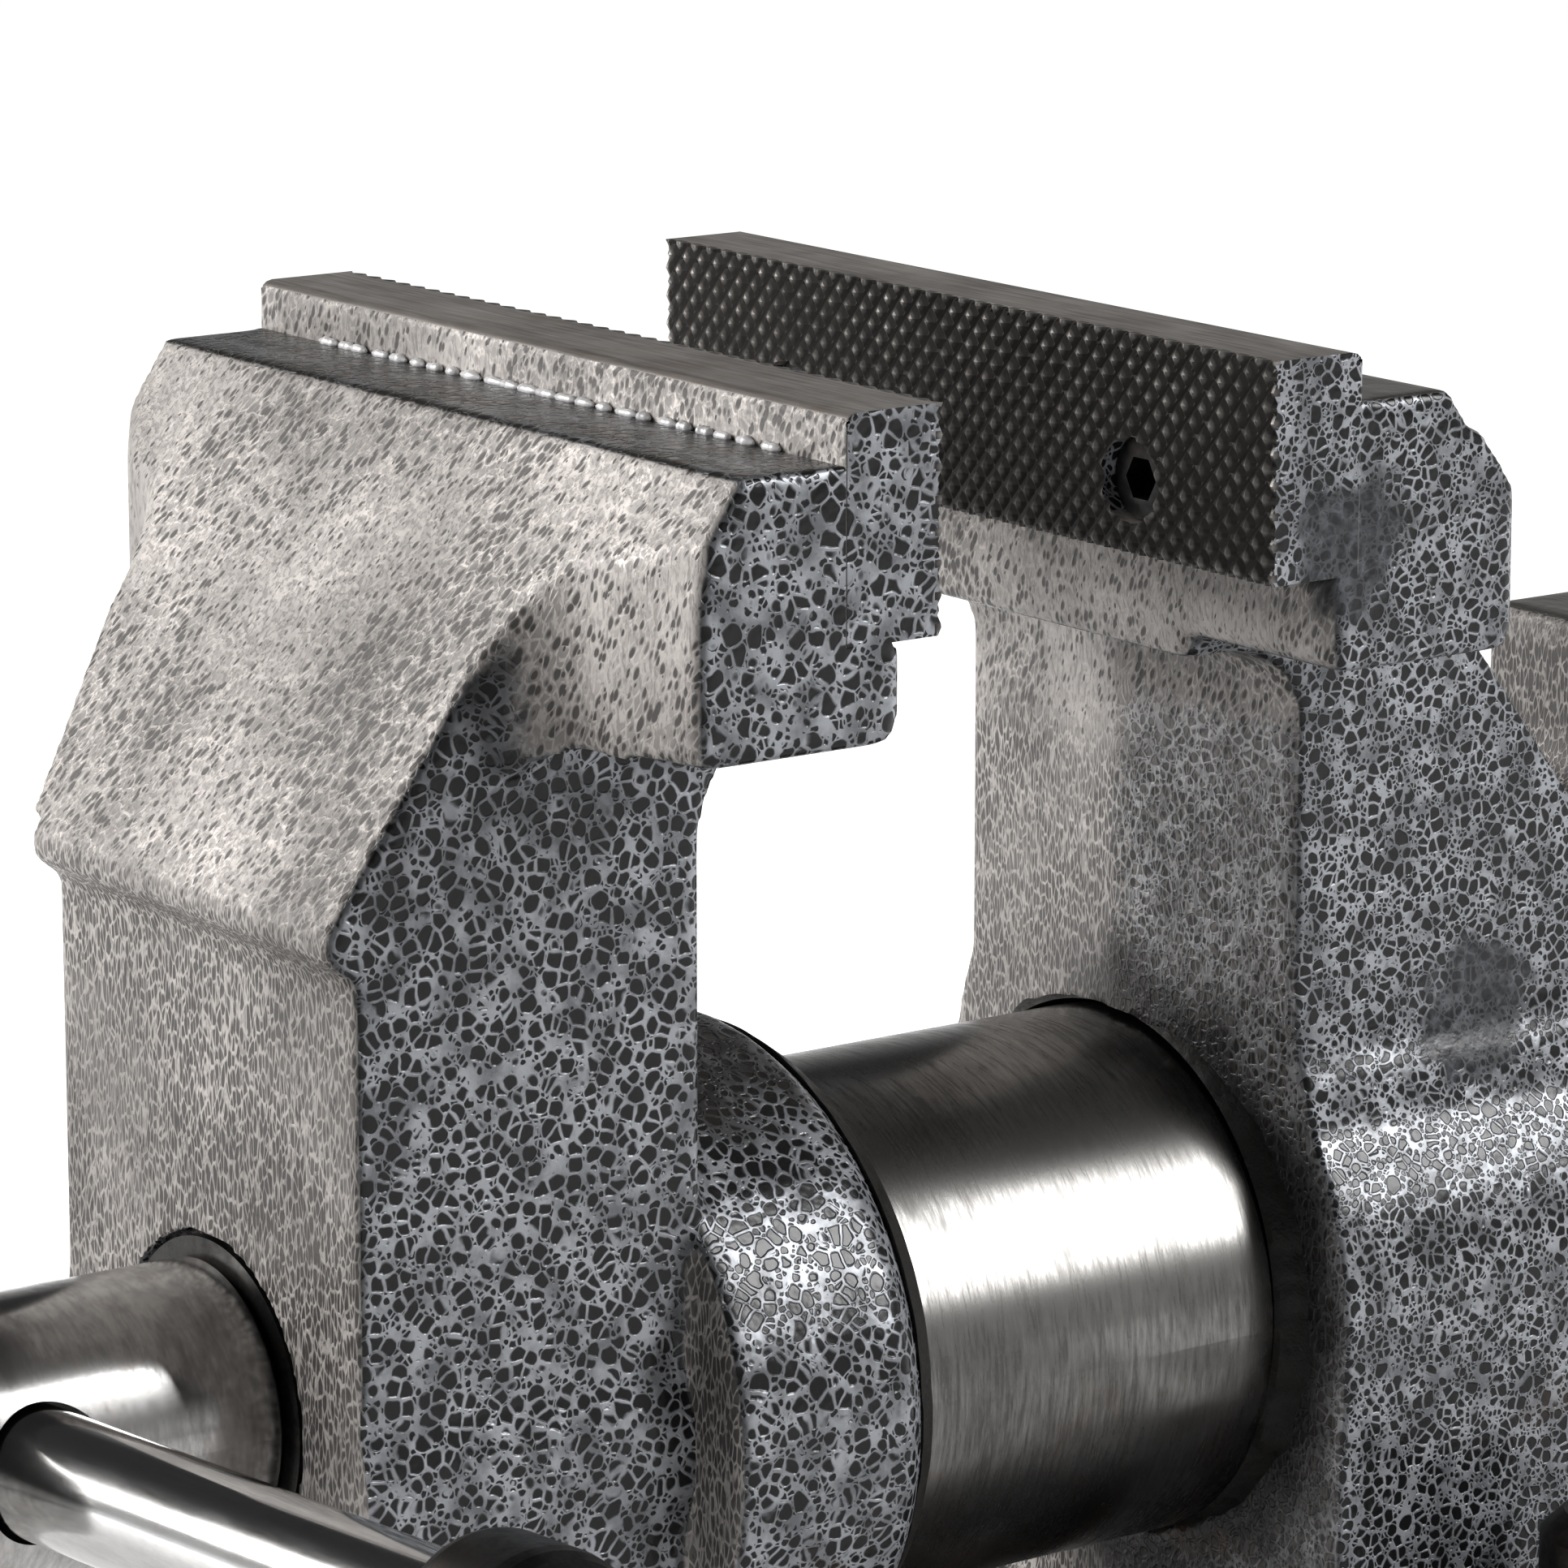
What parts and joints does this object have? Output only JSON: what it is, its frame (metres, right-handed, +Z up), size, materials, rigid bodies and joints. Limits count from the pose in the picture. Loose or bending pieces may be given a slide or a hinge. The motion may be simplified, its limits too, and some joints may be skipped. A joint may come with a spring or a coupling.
{
  "type": "bench vise",
  "caption": "Bench vise with serrated jaws, a round slide bar, a screw spindle with a sliding handle, an anvil and a lockable swivel base.",
  "frame": {"origin": "on the bench plane, on the swivel axis, at the middle of the bench bolt circle", "axes": "+Z up from the bench, +Y from the jaws to the anvil, -Y to the spindle handle, +X to the right seen from the handle"},
  "size_m": [0.2984, 0.3519, 0.232],
  "materials": {
    "hammered_paint": "silver-grey hammered paint with near-black cells",
    "plate_steel": "ground tops, dark serrated faces",
    "bar_steel": "turned, lightly greased",
    "bright_steel": "polished",
    "handle_chrome": "plated",
    "dark_steel": "blackened, worn",
    "black_steel": "black oxide",
    "zinc_steel": "zinc plated",
    "nut_iron": "machined casting"
  },
  "bodies": {
    "base": {"swivel_base": "hammered_paint"},
    "vise_body": {"fixed_body": "hammered_paint", "fixed_jaw_plate": "plate_steel", "fixed_jaw_screws": "black_steel", "spindle_nut": "nut_iron", "nut_bolts": "black_steel", "pivot_bolt": "black_steel", "pivot_washer": "zinc_steel", "lock_bolts": "black_steel", "lock_washers": "zinc_steel"},
    "left_lock": {"left_lock_nut": "black_steel", "left_lock_lever": "zinc_steel", "left_lever_knob": "black_steel"},
    "right_lock": {"right_lock_nut": "black_steel", "right_lock_lever": "zinc_steel", "right_lever_knob": "black_steel"},
    "front_jaw": {"moving_jaw": "hammered_paint", "moving_jaw_plate": "plate_steel", "moving_jaw_screws": "black_steel", "slide_bar": "bar_steel", "bar_lock_screws": "black_steel", "thrust_washer": "bar_steel"},
    "spindle": {"spindle": "bright_steel", "spindle_collar": "black_steel", "collar_pin": "black_steel"},
    "handle": {"handle_bar": "handle_chrome", "left_handle_knob": "dark_steel", "right_handle_knob": "dark_steel"}
  },
  "joints": [
    {"name": "swivel", "type": "hinge", "parent": "base", "child": "vise_body", "pos_m": [0, 0, 0.038], "axis": [0, 0, 1], "continuous": true},
    {"name": "jaw_slide", "type": "slide", "parent": "vise_body", "child": "front_jaw", "axis": [0, -1, 0], "range_m": [-0.0475, 0.075]},
    {"name": "spindle_turn", "type": "hinge", "parent": "front_jaw", "child": "spindle", "pos_m": [0, -0.172, 0.109], "axis": [0, -1, 0], "range_deg": [-3420, 5400]},
    {"name": "handle_slide", "type": "slide", "parent": "spindle", "child": "handle", "axis": [0.9978, 0, 0.0663], "range_m": [-0.089, 0.089]},
    {"name": "left_lock_turn", "type": "hinge", "parent": "vise_body", "child": "left_lock", "pos_m": [-0.062, 0, 0.06], "axis": [0, 0, 1], "range_deg": [0, 85]},
    {"name": "right_lock_turn", "type": "hinge", "parent": "vise_body", "child": "right_lock", "pos_m": [0.062, 0, 0.06], "axis": [0, 0, 1], "range_deg": [0, 85]}
  ],
  "couplings": [
    {"joint": "jaw_slide", "follows": "spindle_turn", "m_per_rad": 0.00079577}
  ]
}
